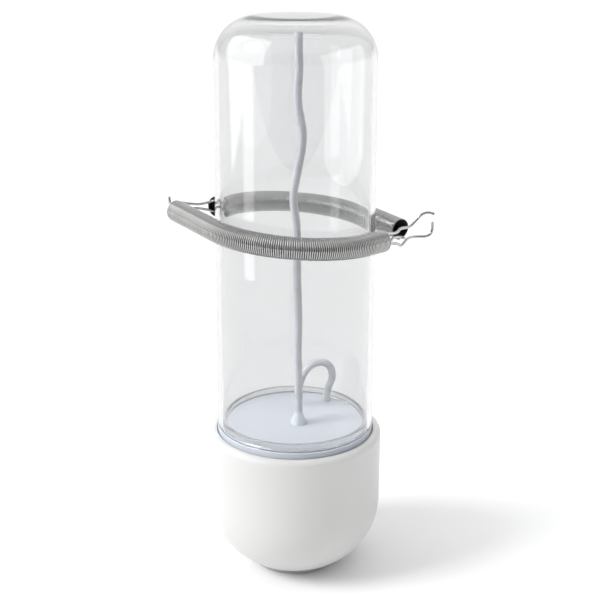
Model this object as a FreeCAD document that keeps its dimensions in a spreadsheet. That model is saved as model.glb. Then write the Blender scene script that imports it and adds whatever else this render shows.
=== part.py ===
"""Poultry waterer fount: a clear tank on a white cup base, with a hooked spring band round it.

Millimetres, +Z up. The origin is the centre of the foot's flat face and the tank's axis is Z.
-Y is the front. Every size that can be set by itself is a cell of the sheet "Sizes".
"""
import FreeCAD, Part
import Sketcher
import math
import os
import re
from FreeCAD import Placement, Rotation, Vector

doc = FreeCAD.newDocument("PoultryWatererFount")

SIZES = {
    # the clear tank
    "tank_radius": (40.0, "outer radius at the open end"),
    "tank_height": (205.1, "open end to flat top"),
    "tank_wall": (2.5, "wall"),
    "tank_taper": (1.2, "radius lost between the open end and the shoulder"),
    "shoulder_radius": (20.0, "outer rounding of the shoulder"),
    # the cup base
    "collar_wall": (4.1, "wall of the thick collar at the rim"),
    "cup_height": (74.8, "floor to rim"),
    "cup_wall": (2.5, "wall"),
    "cup_round": (36.6, "outer rounding of the bottom"),
    "cup_flat": (23.9, "radius of the flat underside"),
    "rim_round": (3.0, "outer rounding of the rim"),
    "collar_depth": (12.0, "depth of the thick collar below the rim"),
    "rim_gap": (0.4, "breathing gap between the plate's skirt and the collar"),
    "foot_radius": (23.3, "outer radius of the foot ring"),
    "foot_height": (2.5, "height of the foot ring"),
    "well_radius": (12.0, "radius of the recess round the drinker"),
    "well_depth": (16.5, "depth of that recess from the floor"),
    # the plate between base and tank
    "seat_rise": (2.9, "tank seat above the rim"),
    "floor_rise": (0.3, "plate floor above the tank seat"),
    "lip_rise": (4.0, "lip above the tank seat"),
    "lip_width": (1.9, "width of the lip"),
    "lip_gap": (0.3, "radial gap between lip and tank"),
    "plate_thick": (2.5, "floor of the plate"),
    "skirt_depth": (9.0, "skirt below the tank seat"),
    "skirt_wall": (2.0, "wall of the skirt"),
    "gasket_thick": (1.2, "gasket under the tank"),
    "gasket_gap": (0.2, "radial gap between gasket and lip"),
    # the screws that hold the plate
    "screw_circle": (19.0, "distance of the screws from the axis"),
    "screw_turn": (116.6, "angle of the first screw from +X, degrees"),
    "screw_count": (3.0, "number of screws"),
    "screw_radius": (1.45, "screw shank"),
    "screw_head": (3.0, "screw head radius"),
    "head_thick": (2.0, "screw head height"),
    "screw_length": (16.0, "screw shank length"),
    "screw_gap": (0.05, "radial gap round a shank in its pilot hole"),
    "pilot_spare": (1.0, "pilot hole deeper than the screw reaches"),
    "post_radius": (5.0, "screw post of the cup"),
    "post_top": (55.0, "top of the posts above the floor"),
    "post_shelf": (3.0, "shelf that the screw head pulls on"),
    "driver_well": (3.5, "radius of the screwdriver's way up the post"),
    "shank_hole": (1.8, "hole through the shelf"),
    "boss_radius": (4.0, "screw boss under the plate"),
    # the tubing, one size for air, intake and hose
    "tubing_radius": (2.0, "outside radius of the tubing"),
    "tubing_bore": (1.35, "bore radius of the tubing"),
    "tubing_gap": (0.05, "radial gap between tubing and what it plugs on"),
    "vent_bore": (0.9, "bore through the stems"),
    # the air spigot on the plate
    "spigot_shift": (1.9, "spigot's distance from the axis along +X"),
    "spigot_front": (3.5, "spigot's distance in front of the axis"),
    "flare_radius": (4.15, "spigot flare at the plate"),
    "flare_height": (6.6, "height of the flare"),
    "stem_length": (8.0, "stem inside the tube"),
    "shank_radius": (3.0, "threaded shank of the spigot"),
    "shank_gap": (0.1, "radial gap round a threaded shank"),
    "washer_thick": (1.2, "rubber washers"),
    "washer_radius": (6.0, "spigot washer"),
    "nut_radius": (6.0, "across the corners of a nut, halved"),
    "nut_thick": (3.5, "nut height"),
    "shank_spare": (2.0, "threaded shank beyond its nut"),
    # the intake socket under the plate
    "intake_inset": (9.46, "intake inwards from the tank's outer radius"),
    "intake_turn": (56.6, "angle of the intake from +X, degrees"),
    "socket_radius": (5.5, "socket under the plate"),
    "socket_depth": (9.5, "socket below the plate floor's underside"),
    "socket_hold": (7.0, "tube's reach into the socket"),
    "boss_wall": (1.8, "wall of the plate's boss round the socket"),
    "boss_depth": (5.5, "that boss below the plate floor's underside"),
    "seal_radius": (4.2, "tube seal in the socket"),
    "seal_thick": (1.6, "tube seal height"),
    "barb_length": (5.0, "hose barb"),
    "clip_wall": (0.8, "hose clip wall"),
    "clip_width": (2.0, "hose clip width"),
    "clip_inset": (1.5, "clip from the hose's end"),
    "hose_lead": (6.0, "straight hose at each end"),
    # the drinker nipple in the foot
    "thread_radius": (4.4, "threaded shank of the nipple"),
    "thread_rise": (9.0, "that shank above the flange"),
    "flange_radius": (7.0, "nipple flange"),
    "flange_thick": (3.0, "flange height"),
    "nose_radius": (5.0, "nipple nose"),
    "nose_drop": (8.0, "nose below the flange"),
    "mouth_radius": (3.8, "open mouth of the nose"),
    "mouth_depth": (6.0, "depth of the mouth"),
    "chamber_radius": (3.0, "valve chamber"),
    "chamber_height": (10.0, "valve chamber, from its seat ring's underside"),
    "seat_thick": (1.0, "seat ring"),
    "seat_shelf": (1.5, "shelf under the seat ring"),
    "seat_bore": (1.7, "bore of the seat ring"),
    "pin_radius": (1.2, "trigger pin"),
    "pin_head": (2.4, "head of the trigger pin"),
    "pin_head_thick": (1.2, "head height"),
    "pin_drop": (10.0, "trigger pin below its seat"),
    "poppet_radius": (2.6, "metering poppet"),
    "poppet_height": (3.8, "metering poppet"),
    # the spring band
    "coil_radius": (5.4, "outside radius of both springs"),
    "coil_wall": (0.65, "wall of a tube as heavy as the close-wound wire"),
    "wire_radius": (0.7, "hook, link and eye wires"),
    "wire_gap": (0.1, "those wires clear of the coil's inside"),
    "wire_hold": (4.0, "reach of those wires into the coil"),
    "wire_lead": (1.5, "straight wire beyond the coil's end"),
    "band_gap": (0.5, "springs clear of the tank"),
    "band_height": (183.2, "band above the floor on the axis"),
    "band_tilt": (4.15, "band tilt, right side down, degrees"),
    "front_middle": (266.0, "middle of its stretch round the tank, degrees"),
    "front_left": (214.0, "where the front spring leaves the tank on the left, degrees"),
    "front_right": (318.0, "where it leaves on the right, degrees"),
    "front_left_run": (39.0, "its straight run on the left"),
    "front_right_run": (12.3, "its straight run on the right"),
    "back_middle": (90.0, "middle of its stretch round the tank, degrees"),
    "back_left": (148.0, "where the back spring leaves the tank on the left, degrees"),
    "back_right": (33.0, "where it leaves on the right, degrees"),
    "back_left_run": (4.0, "its straight run on the left"),
    "back_right_run": (26.0, "its straight run on the right"),
}

# the air tube's points above the spigot, as (x from the spigot, y, height above the flare)
AIR_ROUTE = [
    (0.0, 0.0, 0.0), (0.0, 0.0, 18.0), (-0.7, 0.3, 33.0), (-0.1, 0.0, 48.0), (-0.8, -0.5, 66.0),
    (-1.0, 0.0, 84.0), (-1.2, 0.6, 99.5), (-3.3, 0.3, 112.5), (-1.2, -0.3, 124.0), (2.4, -0.6, 142.5),
    (-1.4, 0.0, 159.0), (-0.1, 0.5, 173.5), (-0.6, 0.3, 183.5), (-0.5, 0.0, 192.3),
]
# the intake tube's points, as (x and y from its hole, height above the plate's floor)
INTAKE_ROUTE = [
    (0.0, 0.0, 5.5), (4.3, -1.2, 14.5), (1.2, -2.6, 23.2), (-8.0, -4.6, 23.6), (-14.4, -6.4, 15.0),
    (-15.6, -7.0, 5.5),
]
# the wires of the band, in its own level plane, as set for springs on a circle of this radius
WIRE_CIRCLE = 45.22
FRONT_HOOK = [
    (46.0, -13.6, 1.8), (49.3, -10.2, 1.5), (50.6, -8.6, 3.6), (55.4, -5.5, 3.4), (58.3, -4.5, 6.8),
    (60.8, -4.0, 10.2), (64.2, -4.0, 11.6), (66.8, -4.0, 10.7),
]
BACK_HOOK = [
    (54.6, -4.2, -2.6), (50.4, -9.4, -0.5), (46.4, -13.4, -0.5), (46.4, -13.4, -3.4), (50.0, -11.8, -3.2),
    (52.0, -9.8, -5.4), (54.9, -6.9, -1.6), (58.3, -5.0, -1.0), (65.2, -4.5, -0.7), (67.3, -4.0, 2.4),
    (66.6, -4.0, 6.6),
]
LINK_EYE = [
    (-46.5, 19.9, 1.0), (-53.0, 19.4, 0.8), (-57.2, 18.0, 1.6), (-61.0, 15.9, 1.6), (-61.0, 15.9, -2.2),
    (-57.2, 18.0, -2.2), (-53.0, 19.4, -1.3), (-46.5, 19.9, -1.2),
]
FRONT_LINK = [
    (-60.4, 19.6, -0.3), (-63.4, 18.6, -0.3), (-62.9, 12.6, 1.0), (-63.5, 11.8, 5.4),
]


ARC_SHARE = 0.45  # of the shorter run beside a bend that its arc takes up


def make_sheet():
    """The driving dimensions, one row each: name, value, meaning."""
    table = doc.addObject("Spreadsheet::Sheet", "Sizes")
    for row, (alias, (number, note)) in enumerate(SIZES.items(), 1):
        table.set(f"A{row}", alias)
        table.set(f"B{row}", str(number))
        table.set(f"C{row}", note)
        table.setAlias(f"B{row}", alias)
    return table


sheet = make_sheet()
doc.recompute()


def bound(text):
    """The sum with every driving size read from the sheet."""
    return re.sub(r"[a-z_]+", lambda word: "Sizes." + word[0] if word[0] in SIZES else word[0], text)


def value(text):
    """The number that a sum of driving sizes comes to."""
    return float(sheet.evalExpression(bound(text)))


# heights that several pieces share, each a sum of driving sizes
SEAT = "(cup_height + seat_rise)"
FLOOR = f"({SEAT} + floor_rise)"
UNDERSIDE = f"({FLOOR} - plate_thick)"
TANK_TOP = f"({SEAT} + tank_height)"
TANK_BEND = f"({TANK_TOP} - shoulder_radius)"
TANK_NECK = "(tank_radius - tank_taper)"
BORE = "(tank_radius + rim_gap)"
CUP_RADIUS = f"({BORE} + collar_wall)"
CUP_CENTRE = f"({CUP_RADIUS} - cup_round)"
CUP_BEND = f"(foot_height + sqrt(cup_round ^ 2 - (cup_flat - {CUP_CENTRE}) ^ 2))"
CUP_INSIDE = f"({CUP_RADIUS} - cup_wall)"
COLLAR_END = "(cup_height - collar_depth)"
WELL_TOP = "(well_depth + cup_wall)"
LIP_OUTER = "(tank_radius - tank_wall - lip_gap)"
SHELF = "(post_top - post_shelf)"
SOCKET_END = f"({UNDERSIDE} - socket_depth)"
STEM = "(tubing_bore - tubing_gap)"
HOLD = "(tubing_radius + tubing_gap)"
SPIGOT_SPOT = ("spigot_shift", "-spigot_front")
FLANGE_TOP = "(well_depth - washer_thick)"
FLANGE_END = f"({FLANGE_TOP} - flange_thick)"
NOSE_END = f"({FLANGE_END} - nose_drop)"
MOUTH_TOP = f"({NOSE_END} + mouth_depth)"
SEAT_TOP = f"({MOUTH_TOP} + seat_shelf + seat_thick)"
THREAD_TOP = f"({FLANGE_TOP} + thread_rise)"
BARB_TOP = f"({THREAD_TOP} + barb_length)"
HUG = f"({TANK_NECK} + tank_taper * ({TANK_BEND} - band_height) / ({TANK_BEND} - {SEAT}) + band_gap + coil_radius)"


def arc_between(start, end, radius, side):
    """The short arc of that radius from start to end; side 1 bows it to the right of the way there."""
    chord = end - start
    middle = (start + end) * 0.5
    right = Vector(chord.y, -chord.x, 0).normalize()
    centre = middle - right * side * math.sqrt(radius ** 2 - (chord.Length / 2) ** 2)
    return Part.Arc(start, centre + right * side * radius, end)


def pin_point(sketch, place, across, up):
    """Fix a sketch vertex at two sums of driving sizes."""
    geometry, vertex = place
    for kind, axis, text in (("DistanceX", -2, across), ("DistanceY", -1, up)):
        number = value(text)
        if abs(number) < 1e-9:
            sketch.addConstraint(Sketcher.Constraint("PointOnObject", geometry, vertex, axis))
            continue
        index = sketch.addConstraint(Sketcher.Constraint(kind, -1, 1, geometry, vertex, number))
        sketch.setExpression(f"Constraints[{index}]", bound(text))


def draw_outline(sketch, outline):
    """A closed outline of (across, up) corners; (across, up, radius, side) reaches its corner by an arc."""
    points = [Vector(value(corner[0]), value(corner[1]), 0) for corner in outline]
    ends = []
    for index, corner in enumerate(outline):
        start, end = points[index - 1], points[index]
        if len(corner) == 2:
            sketch.addGeometry(Part.LineSegment(start, end), False)
            ends.append((1, 2))
            continue
        sketch.addGeometry(arc_between(start, end, value(corner[2]), corner[3]), False)
        flipped = (sketch.getPoint(index, 1) - start).Length > (sketch.getPoint(index, 2) - start).Length
        ends.append((2, 1) if flipped else (1, 2))
    for index, corner in enumerate(outline):
        after = (index + 1) % len(outline)
        sketch.addConstraint(Sketcher.Constraint("Coincident", index, ends[index][1], after, ends[after][0]))
        pin_point(sketch, (index, ends[index][1]), corner[0], corner[1])
        if len(corner) == 4:
            limit = sketch.addConstraint(Sketcher.Constraint("Radius", index, value(corner[2])))
            sketch.setExpression(f"Constraints[{limit}]", bound(corner[2]))


def origin_feature(body, role):
    """One of the body's own origin planes or axes."""
    return next(item for item in body.Origin.OriginFeatures if item.Role == role)


def sketch_on(body, plane, name, height=None):
    """An empty sketch on one of the body's own planes, lifted by a sum of driving sizes."""
    sketch = body.newObject("Sketcher::SketchObject", name)
    sketch.AttachmentSupport = [(origin_feature(body, plane), "")]
    sketch.MapMode = "FlatFace"
    if height:
        sketch.setExpression("AttachmentOffset.Base.z", bound(height))
    return sketch


def add_circle(sketch, radius, across, up):
    """A circle whose radius and centre are sums of driving sizes."""
    centre = Vector(value(across), value(up), 0)
    index = sketch.addGeometry(Part.Circle(centre, Vector(0, 0, 1), value(radius)), False)
    limit = sketch.addConstraint(Sketcher.Constraint("Radius", index, value(radius)))
    sketch.setExpression(f"Constraints[{limit}]", bound(radius))
    pin_point(sketch, (index, 3), across, up)


def turned(label, outline, across=None):
    """A body turned round its own Z axis from an outline of (radius, height) corners."""
    body = doc.addObject("PartDesign::Body", label)
    sketch = sketch_on(body, "XZ_Plane", label + "_outline")
    draw_outline(sketch, outline)
    turn = body.newObject("PartDesign::Revolution", label + "_turn")
    turn.Profile = sketch
    turn.ReferenceAxis = (sketch, ["V_Axis"])
    turn.Angle = 360
    if across:
        place_by(body, *across)
    return body


def place_by(item, across, back, up="0"):
    """Move a piece by three sums of driving sizes."""
    for axis, text in zip("xyz", (across, back, up)):
        item.setExpression(f"Placement.Base.{axis}", bound(text))


def raise_circle(body, name, radius, spot, bottom, length):
    """Pad a round boss of the body, from a height upwards."""
    sketch = sketch_on(body, "XY_Plane", name + "_circle", bottom)
    add_circle(sketch, radius, *spot)
    pad = body.newObject("PartDesign::Pad", name)
    pad.Profile = sketch
    pad.setExpression("Length", bound(length))
    return pad


def sink_circle(body, name, radius, spot, bottom, length):
    """Cut a round hole in the body, from a height upwards."""
    sketch = sketch_on(body, "XY_Plane", name + "_circle", bottom)
    add_circle(sketch, radius, *spot)
    before = volume_of(body)
    cut = body.newObject("PartDesign::Pocket", name)
    cut.Profile = sketch
    cut.Reversed = True
    cut.setExpression("Length", bound(length))
    if volume_of(body) >= before - 1.0:
        raise SystemExit(f"{name} cuts nothing")
    return cut


def volume_of(body):
    """The body's volume after a recompute."""
    doc.recompute()
    return body.Shape.Volume


def repeat_round(body, name, features, count):
    """Repeat features evenly round the body's Z axis."""
    pattern = body.newObject("PartDesign::PolarPattern", name)
    pattern.Originals = features
    pattern.Axis = (origin_feature(body, "Z_Axis"), [""])
    pattern.Angle = 360
    pattern.setExpression("Occurrences", bound(count))
    body.Tip = pattern


def cylinder(name, radius, height, across="0", back="0", up="0"):
    """A Part cylinder bound to the sheet."""
    item = doc.addObject("Part::Cylinder", name)
    item.setExpression("Radius", bound(radius))
    item.setExpression("Height", bound(height))
    place_by(item, across, back, up)
    return item


def joined(kind, label, base, tool):
    """A Part::Cut or Part::Fuse of two objects."""
    item = doc.addObject("Part::" + kind, label)
    item.Base = base
    item.Tool = tool
    return item


def ring(label, outer, inner, height, across="0", back="0", up="0"):
    """A plain ring: washers, seals and clips."""
    solid = cylinder(label + "_outside", outer, height, across, back, up)
    return joined("Cut", label, solid, cylinder(label + "_bore", inner, height, across, back, up))


def nut(label, bore, across, back, up):
    """A hexagon nut standing on its bottom face."""
    block = doc.addObject("Part::Prism", label + "_hexagon")
    block.Polygon = 6
    block.setExpression("Circumradius", bound("nut_radius"))
    block.setExpression("Height", bound("nut_thick"))
    place_by(block, across, back, up)
    return joined("Cut", label, block, cylinder(label + "_bore", bore, "nut_thick", across, back, up))


def group(label, items):
    """Several separate solids that share one node."""
    item = doc.addObject("Part::Compound", label)
    item.Links = items
    return item


def route_wire(points):
    """Straight runs joined by tangent arcs, each as large as its two runs allow."""
    edges, radii = [], []
    start = points[0]
    for before, corner, after in zip(points, points[1:], points[2:]):
        come = corner - before
        leave = after - corner
        half = come.getAngle(leave) / 2
        reach = ARC_SHARE * min(come.Length, leave.Length)
        radii.append(reach / math.tan(half))
        first = corner - come.normalize() * reach
        last = corner + leave.normalize() * reach
        inward = ((first + last) * 0.5 - corner).normalize()
        middle = corner + inward * (radii[-1] / math.cos(half) - radii[-1])
        edges.append(Part.LineSegment(start, first).toShape())
        edges.append(Part.Arc(first, middle, last).toShape())
        start = last
    edges.append(Part.LineSegment(start, points[-1]).toShape())
    return Part.Wire(edges), radii


def swept(name, wire, radius):
    """A round bar along a wire, with its volume checked against section times length."""
    start = wire.OrderedEdges[0]
    heading = start.tangentAt(start.FirstParameter)
    section = Part.Wire(Part.makeCircle(radius, wire.OrderedVertexes[0].Point, heading))
    bar = wire.makePipeShell([section], True, False)
    expected = math.pi * radius ** 2 * wire.Length
    if abs(bar.Volume - expected) > 0.01 * expected:
        raise SystemExit(f"{name}: swept volume {bar.Volume:.1f} is not {expected:.1f}")
    return bar


def feature(label, shape, placement=None):
    """A free shape as a document object."""
    item = doc.addObject("Part::Feature", label)
    item.Shape = shape
    if placement:
        item.Placement = placement
    return item


# ---------------------------------------------------------------- the cup base

INTAKE_SPOT = (
    "(tank_radius - intake_inset) * cos(intake_turn * 1deg)",
    "(tank_radius - intake_inset) * sin(intake_turn * 1deg)",
)
SCREW_SPOT = ("screw_circle * cos(screw_turn * 1deg)", "screw_circle * sin(screw_turn * 1deg)")


def make_base_cup():
    """A round-bottomed cup with a thick collar, a recess for the drinker and screw posts."""
    inner_flat = (
        f"{CUP_CENTRE} + sqrt((cup_round - cup_wall) ^ 2 - ({CUP_BEND} - foot_height - cup_wall) ^ 2)"
    )
    body = turned("base_cup", [
        ("well_radius", "foot_height"),
        ("cup_flat", "foot_height"),
        (CUP_RADIUS, CUP_BEND, "cup_round", 1),
        (CUP_RADIUS, "cup_height - rim_round"),
        (f"{CUP_RADIUS} - rim_round", "cup_height", "rim_round", 1),
        (BORE, "cup_height"),
        (BORE, COLLAR_END),
        (CUP_INSIDE, f"{COLLAR_END} - ({CUP_INSIDE} - {BORE})"),
        (CUP_INSIDE, CUP_BEND),
        (inner_flat, "foot_height + cup_wall", "cup_round - cup_wall", -1),
        ("well_radius + cup_wall", "foot_height + cup_wall"),
        ("well_radius + cup_wall", WELL_TOP),
        ("thread_radius + shank_gap", WELL_TOP),
        ("thread_radius + shank_gap", "well_depth"),
        ("well_radius", "well_depth"),
    ])
    underside = "(foot_height + cup_wall / 2)"
    post = raise_circle(body, "post", "post_radius", SCREW_SPOT, underside, f"post_top - {underside}")
    well = sink_circle(body, "post_well", "driver_well", SCREW_SPOT, "foot_height", f"{SHELF} - foot_height")
    hole = sink_circle(body, "post_hole", "shank_hole", SCREW_SPOT, SHELF, "post_shelf")
    repeat_round(body, "posts", [post, well, hole], "screw_count")


def make_foot_ring():
    """The flat ring that the base stands on; it hides the screw wells."""
    ring("foot_ring", "foot_radius", "well_radius", "foot_height")


def make_plate():
    """The plate that closes the base, seats the tank and carries both tubes."""
    skirt_end = f"({SEAT} - skirt_depth)"
    flange_top = f"({SEAT} - gasket_thick)"
    body = turned("valve_plate", [
        ("0", UNDERSIDE),
        ("tank_radius - skirt_wall", UNDERSIDE),
        ("tank_radius - skirt_wall", skirt_end),
        ("tank_radius", skirt_end),
        ("tank_radius", flange_top),
        (LIP_OUTER, flange_top),
        (LIP_OUTER, f"{SEAT} + lip_rise"),
        (f"{LIP_OUTER} - lip_width", f"{SEAT} + lip_rise"),
        (f"{LIP_OUTER} - lip_width", FLOOR),
        ("0", FLOOR),
    ])
    boss = raise_circle(body, "screw_boss", "boss_radius", SCREW_SPOT, "post_top",
                        f"{UNDERSIDE} - post_top + plate_thick / 2")
    pilot = sink_circle(body, "pilot_hole", "screw_radius + screw_gap", SCREW_SPOT, "post_top",
                        "screw_length - post_shelf + pilot_spare")
    repeat_round(body, "screw_bosses", [boss, pilot], "screw_count")
    raise_circle(body, "intake_boss", "socket_radius + boss_wall", INTAKE_SPOT, f"{UNDERSIDE} - boss_depth",
                 "boss_depth + plate_thick / 2")
    sink_circle(body, "socket_seat", "socket_radius + tubing_gap", INTAKE_SPOT, f"{UNDERSIDE} - boss_depth",
                "boss_depth")
    sink_circle(body, "intake_hole", HOLD, INTAKE_SPOT, UNDERSIDE, "plate_thick")
    sink_circle(body, "spigot_hole", "shank_radius + shank_gap", SPIGOT_SPOT, UNDERSIDE,
                "plate_thick")


def make_gasket():
    """The flat gasket that the tank's end presses on, round the plate's lip."""
    ring("tank_gasket", "tank_radius", f"{LIP_OUTER} + gasket_gap", "gasket_thick",
         up=f"{SEAT} - gasket_thick")


def make_plate_screws():
    """Screws driven up through the posts into the plate's bosses."""
    screws = []
    for index in range(int(value("screw_count"))):
        turn = f"(screw_turn + {index} * 360 / screw_count) * 1deg"
        spot = (f"screw_circle * cos({turn})", f"screw_circle * sin({turn})")
        head = cylinder(f"screw_head_{index}", "screw_head", "head_thick", *spot, f"{SHELF} - head_thick")
        shank = cylinder(f"screw_shank_{index}", "screw_radius", "screw_length", *spot, SHELF)
        screws.append(joined("Fuse", f"screw_{index}", head, shank))
    group("plate_screws", screws)


# ---------------------------------------------------------------- air spigot and intake

def make_air_spigot():
    """A flared stem on the plate, with a threaded shank and a vent through it."""
    flare_top = f"({FLOOR} + flare_height)"
    shank_end = f"({UNDERSIDE} - washer_thick - nut_thick - shank_spare)"
    turned("air_spigot", [
        ("vent_bore", shank_end),
        ("shank_radius", shank_end),
        ("shank_radius", FLOOR),
        ("flare_radius", FLOOR),
        ("tubing_radius + tubing_gap", flare_top),
        (STEM, flare_top),
        (STEM, f"{flare_top} + stem_length"),
        ("vent_bore", f"{flare_top} + stem_length"),
    ], SPIGOT_SPOT)
    ring("spigot_washer", "washer_radius", "shank_radius + shank_gap", "washer_thick", *SPIGOT_SPOT,
         up=f"{UNDERSIDE} - washer_thick")
    nut("spigot_nut", "shank_radius + tubing_gap", *SPIGOT_SPOT,
        f"{UNDERSIDE} - washer_thick - nut_thick")


def make_tube(label, points):
    """Tubing along a route: a round bar with its bore cut out."""
    wire, radii = route_wire(points)
    print(label, "length", round(wire.Length, 1), "radii", [round(radius, 1) for radius in radii])
    outside = swept(label, wire, value("tubing_radius"))
    feature(label, outside.cut(swept(label, wire, value("tubing_bore"))))


def make_tubes():
    """The breather that rises to the tank's top and the swan-neck that draws water off the plate."""
    foot = Vector(value(SPIGOT_SPOT[0]), value(SPIGOT_SPOT[1]), value(f"{FLOOR} + flare_height"))
    make_tube("air_tube", [foot + Vector(*step) for step in AIR_ROUTE])
    hole = Vector(value(INTAKE_SPOT[0]), value(INTAKE_SPOT[1]), value(FLOOR))
    start = hole - Vector(0, 0, value("plate_thick + socket_hold"))
    make_tube("intake_tube", [start] + [hole + Vector(*step) for step in INTAKE_ROUTE])


def make_intake_socket():
    """The socket pushed up into the plate's boss, its seal and its hose barb."""
    tube_end = f"({UNDERSIDE} - socket_hold)"
    seal_bottom = f"({UNDERSIDE} - seal_thick)"
    turned("intake_socket", [
        ("vent_bore", f"{SOCKET_END} - barb_length"),
        (STEM, f"{SOCKET_END} - barb_length"),
        (STEM, SOCKET_END),
        ("socket_radius", SOCKET_END),
        ("socket_radius", UNDERSIDE),
        ("seal_radius", UNDERSIDE),
        ("seal_radius", seal_bottom),
        (HOLD, seal_bottom),
        (HOLD, tube_end),
        ("vent_bore", tube_end),
    ], INTAKE_SPOT)
    ring("intake_seal", "seal_radius", HOLD, "seal_thick", *INTAKE_SPOT, seal_bottom)


def make_hose():
    """The hose from the intake socket down to the drinker, with a clip at each end."""
    top = Vector(value(INTAKE_SPOT[0]), value(INTAKE_SPOT[1]), value(SOCKET_END))
    low = Vector(0, 0, value(THREAD_TOP))
    lead = value("hose_lead")
    drop = top.z - low.z - 2 * lead
    reach = math.hypot(top.x, top.y)
    half = math.atan(reach / drop)
    radius = drop / (2 * math.sin(2 * half))
    knee = radius * math.tan(half)
    points = [top, top - Vector(0, 0, lead + knee), low + Vector(0, 0, lead + knee), low]
    aim = (points[2] - points[1]).normalize()
    joints = [points[1] + Vector(0, 0, knee), points[1] + aim * knee, points[2] - Vector(0, 0, knee)]
    edges = [Part.LineSegment(top, joints[0]).toShape()]
    for corner, first, last in ((points[1], joints[0], joints[1]), (points[2], joints[1], joints[2])):
        inward = ((first + last) * 0.5 - corner).normalize()
        middle = corner + inward * (radius / math.cos(half) - radius)
        edges.append(Part.Arc(first, middle, last).toShape())
    edges.append(Part.LineSegment(joints[2], low).toShape())
    wire = Part.Wire(edges)
    print("inner_hose length", round(wire.Length, 1), "radius", round(radius, 1))
    outside = swept("inner_hose", wire, value("tubing_radius"))
    feature("inner_hose", outside.cut(swept("inner_hose", wire, value("tubing_bore"))))
    clip = ("tubing_radius + tubing_gap + clip_wall", "tubing_radius + tubing_gap", "clip_width")
    upper = ring("upper_clip", *clip, *INTAKE_SPOT, f"{SOCKET_END} - clip_inset - clip_width")
    lower = ring("lower_clip", *clip, up=f"{THREAD_TOP} + clip_inset")
    group("hose_clips", [upper, lower])


# ---------------------------------------------------------------- drinker nipple

def make_nipple():
    """The drinker: a body through the recess's roof, a seat ring, a poppet and a trigger pin."""
    turned("nipple_body", [
        ("mouth_radius", NOSE_END),
        ("nose_radius", NOSE_END),
        ("nose_radius", FLANGE_END),
        ("flange_radius", FLANGE_END),
        ("flange_radius", FLANGE_TOP),
        ("thread_radius", FLANGE_TOP),
        ("thread_radius", THREAD_TOP),
        (STEM, THREAD_TOP),
        (STEM, BARB_TOP),
        ("vent_bore", BARB_TOP),
        ("vent_bore", f"{SEAT_TOP} - seat_thick + chamber_height"),
        ("chamber_radius", f"{SEAT_TOP} - seat_thick + chamber_height"),
        ("chamber_radius", f"{SEAT_TOP} - seat_thick"),
        ("seat_bore", f"{SEAT_TOP} - seat_thick"),
        ("seat_bore", MOUTH_TOP),
        ("mouth_radius", MOUTH_TOP),
    ])
    ring("nipple_washer", "flange_radius", "thread_radius + shank_gap", "washer_thick", up=FLANGE_TOP)
    nut("nipple_nut", "thread_radius + tubing_gap", "0", "0", WELL_TOP)
    ring("nipple_seat", "chamber_radius", "seat_bore", "seat_thick", up=f"{SEAT_TOP} - seat_thick")
    turned("nipple_pin", [
        ("0", f"{SEAT_TOP} - pin_drop"),
        ("pin_radius", f"{SEAT_TOP} - pin_drop"),
        ("pin_radius", SEAT_TOP),
        ("pin_head", SEAT_TOP),
        ("pin_head", f"{SEAT_TOP} + pin_head_thick"),
        ("0", f"{SEAT_TOP} + pin_head_thick"),
    ])
    cylinder("nipple_poppet", "poppet_radius", "poppet_height", up=f"{SEAT_TOP} + pin_head_thick")


# ---------------------------------------------------------------- tank

def make_tank():
    """The inverted tank: a slightly tapered wall, a rounded shoulder and a flat top."""
    turned("clear_tank", [
        ("tank_radius", SEAT),
        (TANK_NECK, TANK_BEND),
        (f"{TANK_NECK} - shoulder_radius", TANK_TOP, "shoulder_radius", 1),
        ("0", TANK_TOP),
        ("0", f"{TANK_TOP} - tank_wall"),
        (f"{TANK_NECK} - shoulder_radius", f"{TANK_TOP} - tank_wall"),
        (f"{TANK_NECK} - tank_wall", TANK_BEND, "shoulder_radius - tank_wall", -1),
        ("tank_radius - tank_wall", SEAT),
    ])


# ---------------------------------------------------------------- spring band

def on_circle(degrees):
    """A point of the springs' common circle round the tank."""
    angle = math.radians(degrees)
    return Vector(math.cos(angle), math.sin(angle), 0) * value(HUG)


def spring_path(which):
    """A straight run, the arc round the tank and a straight run, with the outward headings."""
    first, middle, last = (on_circle(value(f"{which}_{place}")) for place in ("left", "middle", "right"))
    side = 1 if first.cross(middle).z > 0 else -1
    leave_left = Vector(first.y, -first.x, 0).normalize() * side
    leave_right = Vector(-last.y, last.x, 0).normalize() * side
    left_end = first + leave_left * value(f"{which}_left_run")
    right_end = last + leave_right * value(f"{which}_right_run")
    wire = Part.Wire([
        Part.LineSegment(left_end, first).toShape(),
        Part.Arc(first, middle, last).toShape(),
        Part.LineSegment(last, right_end).toShape(),
    ])
    return wire, (left_end, leave_left), (right_end, leave_right)


def coil_tube(name, wire):
    """A close-wound coil as a tube of the same outside size and weight."""
    outside = swept(name, wire, value("coil_radius"))
    return outside.cut(swept(name, wire, value("coil_radius - coil_wall")))


def wire_start(end, turn):
    """Two points that lead a wire out of a coil's end, against the coil's inside at an angle of its round.

    At 0 degrees the wire lies on the side away from the way the coil curves, and at 90 at the top.
    """
    place, heading = end
    reach = value("coil_radius - coil_wall - wire_gap - wire_radius")
    sideways = Vector(-heading.y, heading.x, 0) * math.cos(math.radians(turn))
    offset = (sideways + Vector(0, 0, math.sin(math.radians(turn)))) * reach
    return [place - heading * value("wire_hold") + offset, place + heading * value("wire_lead") + offset]


def wire_points(points):
    """Hand-set points in the band's plane, spread in plan with the circle that the springs lie on."""
    spread = value(HUG) / WIRE_CIRCLE
    return [Vector(across * spread, back * spread, up) for across, back, up in points]


def bent_wire(label, points, level):
    """A piece of the band bent from plain wire."""
    wire, radii = route_wire(points)
    print(label, "radii", [round(radius, 1) for radius in radii])
    feature(label, swept(label, wire, value("wire_radius")), level)


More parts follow.
